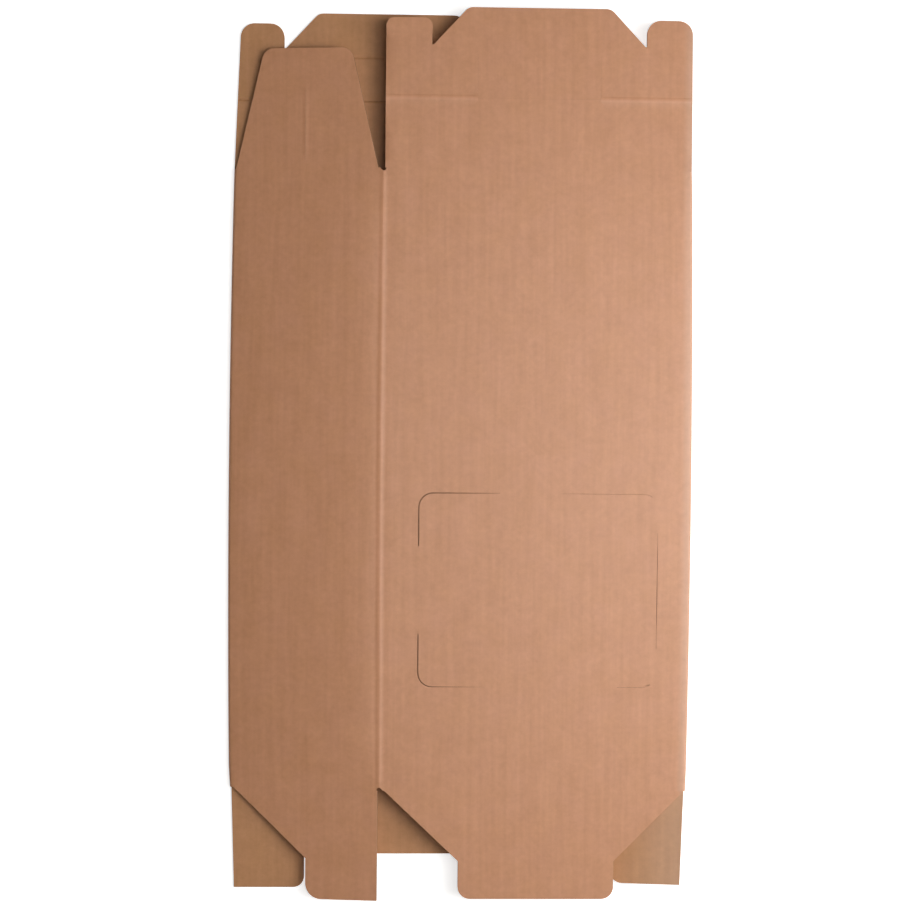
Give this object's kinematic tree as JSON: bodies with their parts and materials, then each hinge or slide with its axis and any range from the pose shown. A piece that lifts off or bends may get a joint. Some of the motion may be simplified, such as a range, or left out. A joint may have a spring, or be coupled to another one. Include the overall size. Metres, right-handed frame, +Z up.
{
  "type": "wine gift box",
  "caption": "Flat-folded two-bottle carrier of brown corrugated board, with a fold-up handle, slotted lock flaps and a snap-lock bottom.",
  "frame": {"origin": "middle of the underside of the flat pack, which is the outside of the back wide wall", "axes": "+Y towards the handle end along the length of the box, +X from the left fold towards the right fold as seen from the front, +Z up out of the front wall"},
  "size_m": [0.2618, 0.5072, 0.0146],
  "materials": {
    "board": "matt brown kraft paper on fine-fluted corrugated board"
  },
  "bodies": {
    "sleeve": {"sleeve": "board"},
    "front_roof_flap": {"front_roof_flap": "board"},
    "front_handle": {"front_handle": "board"},
    "front_hand_flap": {"front_hand_flap": "board"},
    "back_roof_flap": {"back_roof_flap": "board"},
    "back_handle": {"back_handle": "board"},
    "back_hand_flap": {"back_hand_flap": "board"},
    "left_lock_flap": {"left_lock_flap": "board"},
    "right_lock_flap": {"right_lock_flap": "board"},
    "bottom_tab_flap": {"bottom_tab_flap": "board"},
    "bottom_notched_flap": {"bottom_notched_flap": "board"},
    "left_bottom_flap": {"left_bottom_flap": "board"},
    "right_bottom_flap": {"right_bottom_flap": "board"}
  },
  "joints": [
    {"name": "front_roof_fold", "type": "hinge", "parent": "sleeve", "child": "front_roof_flap", "pos_m": [0.04289, 0.162, 0.0143], "axis": [1, 0, 0], "range_deg": [0, 90]},
    {"name": "front_handle_fold", "type": "hinge", "parent": "front_roof_flap", "child": "front_handle", "pos_m": [0.04289, 0.202, 0.0146], "axis": [1, 0, 0], "range_deg": [0, 90]},
    {"name": "front_hand_flap_fold", "type": "hinge", "parent": "front_handle", "child": "front_hand_flap", "pos_m": [0.04289, 0.227, 0.0143], "axis": [-1, 0, 0], "range_deg": [0, 170]},
    {"name": "back_roof_fold", "type": "hinge", "parent": "sleeve", "child": "back_roof_flap", "pos_m": [-0.04289, 0.162, 0], "axis": [-1, 0, 0], "range_deg": [0, 90]},
    {"name": "back_handle_fold", "type": "hinge", "parent": "back_roof_flap", "child": "back_handle", "pos_m": [-0.04289, 0.202, 0], "axis": [-1, 0, 0], "range_deg": [0, 90]},
    {"name": "back_hand_flap_fold", "type": "hinge", "parent": "back_handle", "child": "back_hand_flap", "pos_m": [-0.04289, 0.227, 0], "axis": [1, 0, 0], "range_deg": [0, 170]},
    {"name": "left_lock_fold", "type": "hinge", "parent": "sleeve", "child": "left_lock_flap", "pos_m": [-0.08814, 0.162, 0.00902], "axis": [0.9925, 0, 0.1219], "range_deg": [0, 170]},
    {"name": "right_lock_fold", "type": "hinge", "parent": "sleeve", "child": "right_lock_flap", "pos_m": [0.08814, 0.162, 0.00528], "axis": [-0.9925, 0, -0.1219], "range_deg": [0, 170]},
    {"name": "bottom_tab_fold", "type": "hinge", "parent": "sleeve", "child": "bottom_tab_flap", "pos_m": [0.04289, -0.191, 0.0143], "axis": [-1, 0, 0], "range_deg": [0, 170]},
    {"name": "bottom_notched_fold", "type": "hinge", "parent": "sleeve", "child": "bottom_notched_flap", "pos_m": [-0.04289, -0.191, 0], "axis": [1, 0, 0], "range_deg": [0, 170]},
    {"name": "left_bottom_fold", "type": "hinge", "parent": "sleeve", "child": "left_bottom_flap", "pos_m": [-0.08814, -0.191, 0.00902], "axis": [-0.9925, 0, -0.1219], "range_deg": [0, 170]},
    {"name": "right_bottom_fold", "type": "hinge", "parent": "sleeve", "child": "right_bottom_flap", "pos_m": [0.08814, -0.191, 0.00528], "axis": [0.9925, 0, 0.1219], "range_deg": [0, 170]}
  ]
}
